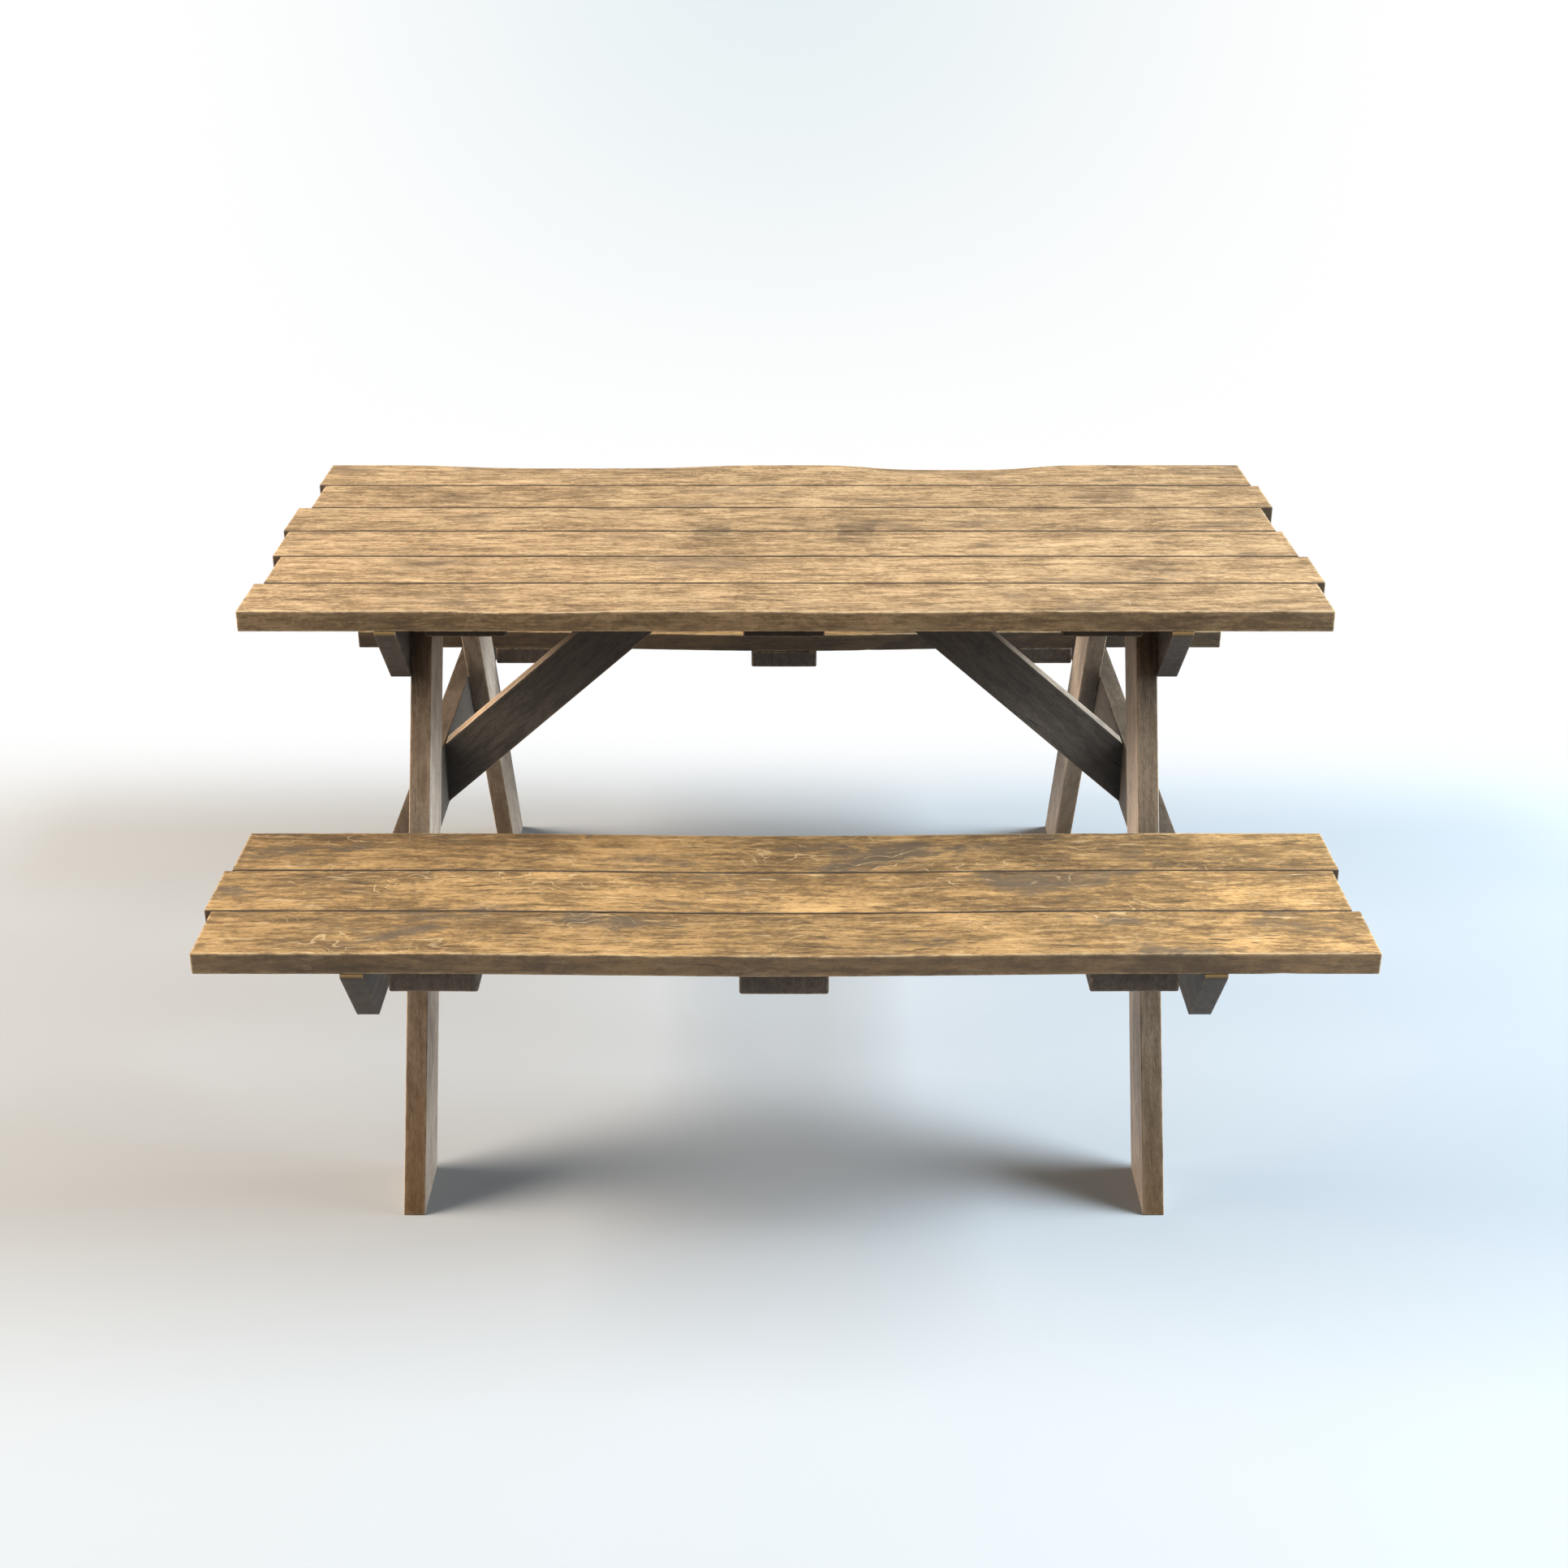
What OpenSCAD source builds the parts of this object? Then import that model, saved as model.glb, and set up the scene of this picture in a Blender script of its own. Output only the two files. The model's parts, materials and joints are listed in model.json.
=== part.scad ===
// Picnic table with two fixed seats, made of planed softwood boards.
// The origin is on the floor, below the middle of the tabletop.
// +X runs along the planks, +Y towards the rear seat, +Z is up.

/* [Overall] */
// Height of the tabletop's upper face above the floor
table_h = 750; // [720:1:780]
// Height of the seats' upper face above the floor
seat_h = 456; // [440:1:470]
// Length of every tabletop and seat plank
plank_l = 1412; // [1400:1:1800]
// Distance from the middle of the table to a seat's inner edge
seat_reach = 377; // [372:1:400]

/* [Boards] */
// Thickness of every board
board_t = 28; // [26:0.5:30]
// Width of the tabletop and seat planks
plank_w = 108; // [104:1:112]
// Width of the battens below the planks
batten_w = 107; // [90:1:112]
// Height of the bearers, which stand on edge
bearer_h = 99; // [95:1:110]
// Width of the leg boards
leg_w = 95; // [90:1:100]
// Width of the brace boards
brace_w = 71; // [65:1:75]
// Radius of the eased long edges of every board
ease_r = 2.5; // [1:0.5:4]

/* [Layout] */
// Gap between neighbouring tabletop planks
table_gap = 3.4; // [2:0.2:5]
// Gap between neighbouring seat planks
seat_gap = 2; // [1:0.2:5]
// Distance from the middle of the table to the inner face of a leg
leg_x = 472.7; // [440:0.1:500]
// Distance from the middle of the table to the front edge of a foot
foot_y = 591.5; // [585:0.5:600]
// Slope of the legs from the floor
leg_slope = 61.25; // [60.5:0.05:62]
// Slope of the braces from the floor
brace_slope = 41; // [40:0.5:42]
// How far the tabletop battens stop short of the tabletop's edge
table_batten_inset = 54.5; // [40:0.5:60]
// How far the seat battens stop short of the seat's outer edge
seat_batten_inset = 6.5; // [2:0.5:20]

/* [Bearer ends] */
// Height of the upright nose left above each slanting end cut
nose_h = 6; // [4:0.5:20]
// Length of the slanting cut on the tabletop bearers
table_cut = 92; // [60:1:95]
// Length of the slanting cut on the seat bearers
seat_cut = 74; // [60:1:80]

/* [Plank stagger] */
// Endwise shift of the tabletop planks, front to rear
table_shift = [2, 14, 2, -6, 12, 2];
// Endwise shift of the front seat's planks, inner to outer
front_shift = [2, -7, 2];
// Endwise shift of the rear seat's planks, inner to outer
rear_shift = [9, 3, -14];

/* [Fasteners] */
// Shank diameter of the coach screws
coach_d = 8; // [6:1:10]
// Length of the coach screws that hold a bearer to a leg
coach_l = 50; // [44:1:54]
// Length of the coach screws that also reach the batten or brace behind
coach_long_l = 80; // [72:1:90]
// Length of the coach screws that hold the foot of a brace
coach_brace_l = 60; // [50:1:64]
// Shank diameter of the wood screws
screw_d = 5; // [4:0.5:6]
// Length of the wood screws that hold the planks to the battens
batten_screw_l = 46; // [40:1:50]
// Length of the pocket screws that hold the planks to the bearers
pocket_screw_l = 58; // [50:1:60]
// Length of the skew screws at the top of each brace
brace_screw_l = 70; // [64:1:76]

/* [Hidden] */
$fn = 48;

// Clearance of a bore around its screw, on the radius
fit = 0.1;
// Extra reach of a cutting shape past the face that it opens
over = 1;
// Space left past a screw's tip
tip_room = 1;
// Length of a screw's pointed tip
tip_l = 6;

// Hexagon head of a coach screw, across its corners
hex_d = 15;
hex_h = 5.5;
washer_d = 22;
washer_t = 2;
// Countersunk head of a wood screw
csk_d = 10;
csk_h = 3.4;
// Hexagon drive recess in the heads of the wood screws
drive_d = 4;
drive_depth = 2;
// Flat head of a pocket screw and the pocket that it sits in
pan_d = 9.4;
pan_h = 3;
pocket_d = 10;
pocket_tilt = 15;
// Distance along a pocket screw from the plank's underside to its head
pocket_seat = 38;
// Length of the pocket's bore, which runs out of the bearer's inner face
pocket_run = 36;

table_planks = 6;
seat_planks = 3;
table_z = table_h - board_t;
seat_z = seat_h - board_t;
table_half = (table_planks * plank_w + (table_planks - 1) * table_gap) / 2;
seat_depth = seat_planks * plank_w + (seat_planks - 1) * seat_gap;
seat_outer = seat_reach + seat_depth;

// The bearers stand against the outer faces of the legs.
bearer_x = leg_x + board_t;
frame_x = bearer_x + board_t;
// The side battens lie against the inner faces of the legs.
batten_xs = [-leg_x + batten_w / 2, 0, leg_x - batten_w / 2];
// Half the spacing of the two screws in a batten under one plank
screw_pitch = 32;

leg_run = leg_w / sin(leg_slope);
brace_end_h = brace_w / cos(brace_slope);
// Space between the underside of the seat planks and the upper corner of a brace's foot
brace_foot_drop = 2;
// Lower corner of a brace where it meets the seat bearer
brace_z = seat_z - brace_foot_drop - brace_end_h;
// Distance from the middle at which a brace's lower edge meets the tabletop
brace_in = bearer_x - (table_z - brace_z) / tan(brace_slope);

// The upper tabletop coach screw enters the edge of the side batten.
table_high_z = table_z - board_t / 2;
// Drop of the lower tabletop coach screw below the planks
table_low_drop = 72;
table_low_z = table_z - table_low_drop;
// Drops of the two seat coach screws below the seat planks
seat_coach_drops = [25, 73];
// Drops of the two coach screws in the foot of a brace
brace_coach_drops = [16, 56];
// Distance along X from a brace's lower corner at the tabletop to its skew screws
brace_screw_run = 62;
// Tilt of the skew screws towards the front and the rear
brace_skew = 16;
// Half the distance along X between the two skew screws
brace_screw_pitch = 10;
// Depth of the skew screws' heads inside the brace's lower edge
brace_screw_sink = 5;
// Least distance from a batten screw to the batten's end
batten_end_room = plank_w / 4;

// ---- Positions that several parts share ----

// Middle of tabletop plank i, counted from the front
function table_plank_y(i) = -table_half + plank_w / 2 + i * (plank_w + table_gap);

// Middle of seat plank i, counted from the seat's inner edge
function seat_plank_y(i) = seat_reach + plank_w / 2 + i * (plank_w + seat_gap);

// Where the batten screws enter tabletop plank i: the outer planks lie only partly on the battens
function table_screw_y(i) =
    let (mid = table_plank_y(i), batten_end = table_half - table_batten_inset)
    abs(mid) + batten_end_room > batten_end
        ? sign(mid) * (batten_end - (batten_end - abs(mid) + plank_w / 2) / 2)
        : mid;

// Middle of a front leg's board at height z
function leg_mid_y(z) = -foot_y + leg_run / 2 + z / tan(leg_slope);

// Pocket screws stay clear of the legs, and out of sight at the open ends of the bearers.
table_pocket_ys = [table_plank_y(2), table_plank_y(3)];
seat_pocket_ys = [seat_plank_y(0), seat_plank_y(1)];

// ---- Boards ----

// Cross-section of a board with eased edges, centred on its middle
module eased_section(w, t) {
    square([w - 2 * ease_r, t], center = true);
    square([w, t - 2 * ease_r], center = true);
    for (x = [-1, 1], y = [-1, 1])
        translate([x * (w / 2 - ease_r), y * (t / 2 - ease_r)])
            circle(r = ease_r);
}

// Board running along X with its broad face up, its underside at z = 0
module board_along_x(l, w) {
    translate([-l / 2, 0, board_t / 2])
        rotate([90, 0, 90])
            linear_extrude(l)
                eased_section(w, board_t);
}

// Board running along Y with its broad face up, its top at z = 0
module batten_board(y_from, y_to) {
    translate([0, y_to, -board_t / 2])
        rotate([90, 0, 0])
            linear_extrude(y_to - y_from)
                eased_section(batten_w, board_t);
}

// Board on edge along Y with slanting end cuts, its top at z = 0
module bearer_board(half_l, cut) {
    intersection() {
        translate([0, half_l, -bearer_h / 2])
            rotate([90, 0, 0])
                linear_extrude(2 * half_l)
                    eased_section(board_t, bearer_h);
        rotate([90, 0, 90])
            linear_extrude(2 * board_t, center = true)
                polygon([
                    [-half_l, over], [-half_l, -nose_h],
                    [-half_l + cut, -bearer_h], [half_l - cut, -bearer_h],
                    [half_l, -nose_h], [half_l, over]
                ]);
    }
}

// Front leg, in its own plane, cut level at the floor and below the tabletop
module leg_board() {
    reach = table_z / sin(leg_slope) + 2 * leg_w;
    intersection() {
        translate([0, -foot_y + leg_run / 2, 0])
            rotate([leg_slope - 90, 0, 0])
                translate([0, 0, -leg_w])
                    linear_extrude(reach)
                        eased_section(board_t, leg_w);
        translate([-board_t, -foot_y - leg_w, 0])
            cube([2 * board_t, foot_y + 2 * leg_w, table_z]);
    }
}

// Right brace, cut upright at the bearer, level at the tabletop and upright at the centre batten
module brace_board() {
    reach = bearer_x / cos(brace_slope) + 2 * brace_w;
    intersection() {
        translate([bearer_x, 0, brace_z + brace_end_h / 2])
            rotate([0, 270 + brace_slope, 0])
                translate([0, 0, -brace_w])
                    linear_extrude(reach)
                        eased_section(brace_w, board_t);
        translate([batten_w / 2, -board_t, 0])
            cube([bearer_x - batten_w / 2, 2 * board_t, table_z]);
    }
}

// ---- Fasteners, each along +Z with the underside of its head at z = 0 ----

module pointed_shank(d, l) {
    cylinder(d = d, h = l - tip_l);
    translate([0, 0, l - tip_l])
        cylinder(d1 = d, d2 = d / 5, h = tip_l);
}

// Bore that a shank sits in, open at the head's side
module shank_bore(d, l) {
    translate([0, 0, -over])
        cylinder(r = d / 2 + fit, h = l + over + tip_room);
}

module coach_screw(l) {
    pointed_shank(coach_d, l);
    translate([0, 0, -washer_t - hex_h])
        cylinder(d = hex_d, h = hex_h, $fn = 6);
    translate([0, 0, -washer_t])
        cylinder(d = coach_d, h = washer_t);
}

module washer() {
    translate([0, 0, -washer_t])
        difference() {
            cylinder(d = washer_d, h = washer_t);
            translate([0, 0, -over])
                cylinder(r = coach_d / 2 + fit, h = washer_t + 2 * over);
        }
}

// Countersunk wood screw whose head's top is at z = 0
module wood_screw(l) {
    difference() {
        union() {
            cylinder(d1 = csk_d, d2 = screw_d, h = csk_h);
            pointed_shank(screw_d, l);
        }
        translate([0, 0, -over])
            cylinder(d = drive_d, h = drive_depth + over, $fn = 6);
    }
}

module wood_screw_bore(l) {
    shank_bore(screw_d, l);
    cylinder(d1 = csk_d + 2 * fit, d2 = screw_d + 2 * fit, h = csk_h + fit);
}

module pocket_screw() {
    difference() {
        union() {
            translate([0, 0, -pan_h])
                cylinder(d = pan_d, h = pan_h);
            pointed_shank(screw_d, pocket_screw_l);
        }
        translate([0, 0, -pan_h - over])
            cylinder(d = drive_d, h = drive_depth + over, $fn = 6);
    }
}

module pocket_bore() {
    shank_bore(screw_d, pocket_screw_l);
    translate([0, 0, -pocket_run])
        cylinder(d = pocket_d, h = pocket_run);
}

// ---- Placing the fasteners ----

// Draws its children once on each side, mirrored in X
module both_ends() {
    children();
    mirror([1, 0, 0]) children();
}

// Draws its children for the front and the rear, mirrored in Y
module both_seats() {
    children();
    mirror([0, 1, 0]) children();
}

// From the outer face of the right-hand bearer, pointing inwards
module through_bearer(y, z) {
    translate([frame_x, y, z])
        rotate([0, -90, 0])
            children();
}

// Upper tabletop joints, where the screw runs on into the side batten
module at_table_high() {
    through_bearer(leg_mid_y(table_high_z), table_high_z) children();
}

module at_table_low() {
    through_bearer(leg_mid_y(table_low_z), table_low_z) children();
}

module at_seat_joints() {
    for (drop = seat_coach_drops)
        through_bearer(leg_mid_y(seat_z - drop), seat_z - drop) children();
}

module at_brace_foot() {
    for (drop = brace_coach_drops)
        through_bearer(0, seat_z - drop) children();
}

// Two screws side by side, upwards through a batten at (x, y)
module at_batten(x, y, plank_z) {
    for (side = [-1, 1])
        translate([x + side * screw_pitch, y, plank_z - board_t])
            children();
}

// Pocket screw from the inner face of the right-hand bearer into a plank at height plank_z
module at_pocket(y, plank_z) {
    translate([bearer_x + board_t / 2, y, plank_z])
        rotate([0, pocket_tilt, 0])
            translate([0, 0, -pocket_seat])
                children();
}

// Skew screws from the right brace's lower edge, one into each middle plank
module at_brace_top() {
    for (side = [-1, 1]) {
        run = brace_screw_run + side * brace_screw_pitch;
        edge_z = table_z - run * tan(brace_slope);
        translate([brace_in + run, 0, edge_z + brace_screw_sink])
            rotate([side * brace_skew, 0, 0])
                children();
    }
}

module brace_top_bore() {
    shank_bore(screw_d, brace_screw_l);
    translate([0, 0, -2 * csk_d])
        cylinder(d = csk_d + 2 * fit, h = 2 * csk_d);
    cylinder(d1 = csk_d + 2 * fit, d2 = screw_d + 2 * fit, h = csk_h + fit);
}

// ---- Planks ----

module tabletop_plank(i) {
    color("#9c6f42")
        difference() {
            translate([table_shift[i], table_plank_y(i), table_z])
                board_along_x(plank_l, plank_w);
            for (x = batten_xs)
                at_batten(x, table_screw_y(i), table_z) wood_screw_bore(batten_screw_l);
            both_ends()
                for (y = table_pocket_ys)
                    if (abs(y - table_plank_y(i)) < plank_w / 2)
                        at_pocket(y, table_z) pocket_bore();
            if (i == 2 || i == 3)
                both_ends() at_brace_top() brace_top_bore();
        }
}

// Rear seat plank i, counted from the inner edge; the front seat mirrors it
module seat_plank(i, shift) {
    color("#a0703f")
        difference() {
            translate([shift, seat_plank_y(i), seat_z])
                board_along_x(plank_l, plank_w);
            for (x = batten_xs)
                at_batten(x, seat_plank_y(i), seat_z) wood_screw_bore(batten_screw_l);
            both_ends()
                for (y = seat_pocket_ys)
                    if (abs(y - seat_plank_y(i)) < plank_w / 2)
                        at_pocket(y, seat_z) pocket_bore();
        }
}

module front_seat_plank(i) {
    mirror([0, 1, 0]) seat_plank(i, front_shift[i]);
}

// ---- Battens ----

module tabletop_batten(b) {
    color("#6f4a2c")
        difference() {
            translate([batten_xs[b], 0, table_z])
                batten_board(-table_half + table_batten_inset, table_half - table_batten_inset);
            for (i = [0:table_planks - 1])
                at_batten(batten_xs[b], table_screw_y(i), table_z) wood_screw_bore(batten_screw_l);
            if (b != 1)
                both_seats() both_ends() at_table_high() shank_bore(coach_d, coach_long_l);
        }
}

// Rear seat batten; the front seat mirrors it
module seat_batten(b) {
    color("#6f4a2c")
        difference() {
            translate([batten_xs[b], 0, seat_z])
                batten_board(seat_reach, seat_outer - seat_batten_inset);
            for (i = [0:seat_planks - 1])
                at_batten(batten_xs[b], seat_plank_y(i), seat_z) wood_screw_bore(batten_screw_l);
        }
}

module front_seat_batten(b) {
    mirror([0, 1, 0]) seat_batten(b);
}

// ---- Frame ----

// Right-hand tabletop bearer
module tabletop_bearer() {
    color("#5d4030")
        difference() {
            translate([bearer_x + board_t / 2, 0, table_z])
                bearer_board(table_half, table_cut);
            both_seats() {
                at_table_high() shank_bore(coach_d, coach_long_l);
                at_table_low() shank_bore(coach_d, coach_l);
            }
            for (y = table_pocket_ys)
                at_pocket(y, table_z) pocket_bore();
        }
}

// Right-hand seat bearer
module seat_bearer() {
    color("#5d4030")
        difference() {
            translate([bearer_x + board_t / 2, 0, seat_z])
                bearer_board(seat_outer, seat_cut);
            both_seats() {
                at_seat_joints() shank_bore(coach_d, coach_l);
                for (y = seat_pocket_ys)
                    at_pocket(y, seat_z) pocket_bore();
            }
            at_brace_foot() shank_bore(coach_d, coach_brace_l);
        }
}

// Front right leg
module leg() {
    color("#7a5636")
        difference() {
            translate([leg_x + board_t / 2, 0, 0])
                leg_board();
            at_table_high() shank_bore(coach_d, coach_long_l);
            at_table_low() shank_bore(coach_d, coach_l);
            at_seat_joints() shank_bore(coach_d, coach_l);
        }
}

// Right brace
module brace() {
    color("#77502f")
        difference() {
            brace_board();
            at_brace_foot() shank_bore(coach_d, coach_brace_l);
            at_brace_top() brace_top_bore();
        }
}

// ---- Fastener groups ----

module tabletop_coach_screws() {
    color("#a8a9a6")
        both_seats() both_ends() {
            at_table_high() coach_screw(coach_long_l);
            at_table_low() coach_screw(coach_l);
        }
}

module seat_coach_screws() {
    color("#a8a9a6")
        both_seats() both_ends() at_seat_joints() coach_screw(coach_l);
}

module brace_coach_screws() {
    color("#a8a9a6")
        both_ends() at_brace_foot() coach_screw(coach_brace_l);
}

module coach_screw_washers() {
    color("#b4b5b0")
        both_ends() {
            both_seats() {
                at_table_high() washer();
                at_table_low() washer();
                at_seat_joints() washer();
            }
            at_brace_foot() washer();
        }
}

module tabletop_batten_screws() {
    color("#a8a9a6")
        for (x = batten_xs, i = [0:table_planks - 1])
            at_batten(x, table_screw_y(i), table_z) wood_screw(batten_screw_l);
}

module rear_seat_batten_screws() {
    color("#a8a9a6")
        for (x = batten_xs, i = [0:seat_planks - 1])
            at_batten(x, seat_plank_y(i), seat_z) wood_screw(batten_screw_l);
}

module front_seat_batten_screws() {
    mirror([0, 1, 0]) rear_seat_batten_screws();
}

module tabletop_pocket_screws() {
    color("#a8a9a6")
        both_ends()
            for (y = table_pocket_ys)
                at_pocket(y, table_z) pocket_screw();
}

module seat_pocket_screws() {
    color("#a8a9a6")
        both_seats() both_ends()
            for (y = seat_pocket_ys)
                at_pocket(y, seat_z) pocket_screw();
}

module brace_top_screws() {
    color("#a8a9a6")
        both_ends() at_brace_top() wood_screw(brace_screw_l);
}

// ---- The parts ----

tabletop_plank(0);  // tabletop_plank_1
tabletop_plank(1);  // tabletop_plank_2
tabletop_plank(2);  // tabletop_plank_3
tabletop_plank(3);  // tabletop_plank_4
tabletop_plank(4);  // tabletop_plank_5
tabletop_plank(5);  // tabletop_plank_6

front_seat_plank(0);  // front_seat_plank_inner
front_seat_plank(1);  // front_seat_plank_middle
front_seat_plank(2);  // front_seat_plank_outer
seat_plank(0, rear_shift[0]);  // rear_seat_plank_inner
seat_plank(1, rear_shift[1]);  // rear_seat_plank_middle
seat_plank(2, rear_shift[2]);  // rear_seat_plank_outer

tabletop_batten(0);  // tabletop_batten_left
tabletop_batten(1);  // tabletop_batten_centre
tabletop_batten(2);  // tabletop_batten_right
front_seat_batten(0);  // front_seat_batten_left
front_seat_batten(1);  // front_seat_batten_centre
front_seat_batten(2);  // front_seat_batten_right
seat_batten(0);  // rear_seat_batten_left
seat_batten(1);  // rear_seat_batten_centre
seat_batten(2);  // rear_seat_batten_right

mirror([1, 0, 0]) tabletop_bearer();  // tabletop_bearer_left
tabletop_bearer();  // tabletop_bearer_right
mirror([1, 0, 0]) seat_bearer();  // seat_bearer_left
seat_bearer();  // seat_bearer_right

mirror([1, 0, 0]) leg();  // leg_front_left
leg();  // leg_front_right
mirror([1, 0, 0]) mirror([0, 1, 0]) leg();  // leg_rear_left
mirror([0, 1, 0]) leg();  // leg_rear_right

mirror([1, 0, 0]) brace();  // brace_left
brace();  // brace_right

tabletop_coach_screws();
seat_coach_screws();
brace_coach_screws();
coach_screw_washers();
tabletop_batten_screws();
front_seat_batten_screws();
rear_seat_batten_screws();
tabletop_pocket_screws();
seat_pocket_screws();
brace_top_screws();
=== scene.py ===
"""Looks for the picnic table: worn boards of stained softwood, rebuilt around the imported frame."""

import json
import math
from random import Random

import bmesh
import bpy
import numpy as np
from mathutils import Matrix, Vector
from mathutils.geometry import convex_hull_2d


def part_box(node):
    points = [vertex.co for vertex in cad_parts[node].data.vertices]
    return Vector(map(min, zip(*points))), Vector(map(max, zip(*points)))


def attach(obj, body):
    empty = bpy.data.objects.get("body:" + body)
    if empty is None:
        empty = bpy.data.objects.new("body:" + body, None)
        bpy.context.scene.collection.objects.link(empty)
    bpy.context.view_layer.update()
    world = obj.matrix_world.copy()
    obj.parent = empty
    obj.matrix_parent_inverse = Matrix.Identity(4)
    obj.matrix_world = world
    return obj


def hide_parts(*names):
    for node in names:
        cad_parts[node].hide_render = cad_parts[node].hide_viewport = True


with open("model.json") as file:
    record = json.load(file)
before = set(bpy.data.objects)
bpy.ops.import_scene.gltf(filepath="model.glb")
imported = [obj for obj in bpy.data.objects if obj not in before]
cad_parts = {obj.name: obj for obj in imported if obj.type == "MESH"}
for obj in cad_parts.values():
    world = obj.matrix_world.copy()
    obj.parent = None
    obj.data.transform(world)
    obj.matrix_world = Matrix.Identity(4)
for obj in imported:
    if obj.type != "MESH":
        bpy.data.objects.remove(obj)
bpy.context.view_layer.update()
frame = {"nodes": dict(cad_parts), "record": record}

MM = 0.001
BODY = "root"
SLOT_OF = {s["node"]: s["material_slot"] for s in frame["record"]["subparts"]}
PLANK_BOXES = {node: np.array(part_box(node)) for node in frame["nodes"] if "plank" in node}


# ---------------------------------------------------------------- camera

CAMERA_BACK = 2.9645
CAMERA_HEIGHT = 1.7096
CAMERA_TILT = 24.564
LENS_MM = 50.0
SENSOR_MM = 36.0


def make_camera():
    data = bpy.data.cameras.new("camera")
    data.lens = LENS_MM
    data.sensor_width = SENSOR_MM
    camera = bpy.data.objects.new("camera", data)
    camera.location = (0.0, -CAMERA_BACK, CAMERA_HEIGHT)
    camera.rotation_euler = (math.radians(90.0 - CAMERA_TILT), 0.0, 0.0)
    bpy.context.scene.collection.objects.link(camera)
    bpy.context.scene.camera = camera


# ---------------------------------------------------------------- node helpers

HALF = (0.5, 0.5, 0.5)


class Nodes:
    """A short way to build a shader: most calls add one node and return its output."""

    def __init__(self, tree):
        self.tree = tree
        self.shader = next(n for n in tree.nodes if n.type in ("BSDF_PRINCIPLED", "BACKGROUND"))

    def link(self, value, socket):
        if isinstance(value, bpy.types.NodeSocket):
            self.tree.links.new(value, socket)
        else:
            socket.default_value = value

    def attribute(self, name, output="Fac"):
        node = self.tree.nodes.new("ShaderNodeAttribute")
        node.attribute_name = name
        return node.outputs[output]

    def coordinates(self, output):
        return self.tree.nodes.new("ShaderNodeTexCoord").outputs[output]

    def math(self, operation, a, b=0.0, clamp=False):
        node = self.tree.nodes.new("ShaderNodeMath")
        node.operation = operation
        node.use_clamp = clamp
        self.link(a, node.inputs[0])
        self.link(b, node.inputs[1])
        return node.outputs[0]

    def times(self, a, b):
        return self.math("MULTIPLY", a, b)

    def plus(self, total, *values):
        for value in values:
            total = self.math("ADD", total, value)
        return total

    def centred(self, value, gain):
        """Turns noise about a half into light and dark about zero."""
        return self.times(self.math("SUBTRACT", value, 0.5), gain)

    def vector(self, operation, a, b=(0.0, 0.0, 0.0)):
        node = self.tree.nodes.new("ShaderNodeVectorMath")
        node.operation = operation
        self.link(a, node.inputs[0])
        self.link(b, node.inputs[1])
        return node.outputs["Value" if operation == "LENGTH" else "Vector"]

    def stretched(self, where, along, across):
        return self.vector("MULTIPLY", where, (along, across, across))

    def bent(self, where, noise, reach):
        """Moves a place by a noise colour, at most half of reach each way."""
        return self.vector("ADD", where, self.vector("MULTIPLY", self.vector("SUBTRACT", noise, HALF), reach))

    def split(self, a):
        node = self.tree.nodes.new("ShaderNodeSeparateXYZ")
        self.link(a, node.inputs[0])
        return node.outputs[0], node.outputs[1], node.outputs[2]

    def grey(self, value):
        node = self.tree.nodes.new("ShaderNodeCombineXYZ")
        for socket in node.inputs:
            self.link(value, socket)
        return node.outputs[0]

    def noise(self, where, detail=3.0, roughness=0.5, scale=1.0, output="Fac"):
        node = self.tree.nodes.new("ShaderNodeTexNoise")
        self.link(where, node.inputs["Vector"])
        node.inputs["Scale"].default_value = scale
        node.inputs["Detail"].default_value = detail
        node.inputs["Roughness"].default_value = roughness
        return node.outputs[output]

    def cells(self, where, scale=1.0, output="Distance"):
        node = self.tree.nodes.new("ShaderNodeTexVoronoi")
        self.link(where, node.inputs["Vector"])
        node.inputs["Scale"].default_value = scale
        return node.outputs[output]

    def ramp(self, value, low, high, out_low=0.0, out_high=1.0, smooth=True):
        node = self.tree.nodes.new("ShaderNodeMapRange")
        node.interpolation_type = "SMOOTHSTEP" if smooth else "LINEAR"
        self.link(value, node.inputs["Value"])
        self.link(low, node.inputs["From Min"])
        self.link(high, node.inputs["From Max"])
        self.link(out_low, node.inputs["To Min"])
        self.link(out_high, node.inputs["To Max"])
        return node.outputs[0]

    def mix(self, factor, a, b, blend="MIX"):
        node = self.tree.nodes.new("ShaderNodeMix")
        node.data_type = "RGBA"
        node.blend_type = blend
        self.link(factor, node.inputs["Factor"])
        self.link(rgba(a), node.inputs["A"])
        self.link(rgba(b), node.inputs["B"])
        return node.outputs["Result"]

    def layer(self, base, colour, where, strength):
        """Lays a colour over the base: where is a mask, and strength how well it covers."""
        return self.mix(self.times(where, strength), base, colour)

    def bump(self, height, strength, distance):
        node = self.tree.nodes.new("ShaderNodeBump")
        node.inputs["Strength"].default_value = strength
        node.inputs["Distance"].default_value = distance
        self.link(height, node.inputs["Height"])
        return node.outputs[0]


def rgba(colour):
    return (*colour, 1.0) if isinstance(colour, tuple) else colour


def new_material(name):
    material = bpy.data.materials.new(name)
    material.use_nodes = True
    return material, Nodes(material.node_tree)


# ---------------------------------------------------------------- materials

CRACK_COLOUR = (0.020, 0.014, 0.010)
KNOT_COLOUR = (0.030, 0.020, 0.014)
GAP_COLOUR = (0.050, 0.033, 0.020)
NOSE_COLOUR = (0.44, 0.26, 0.085)
FOOT_TINT = (0.66, 0.50, 0.28)
# Brightness left by the painted shade where two boards touch.
CONTACT_SHADE = 0.18
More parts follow.
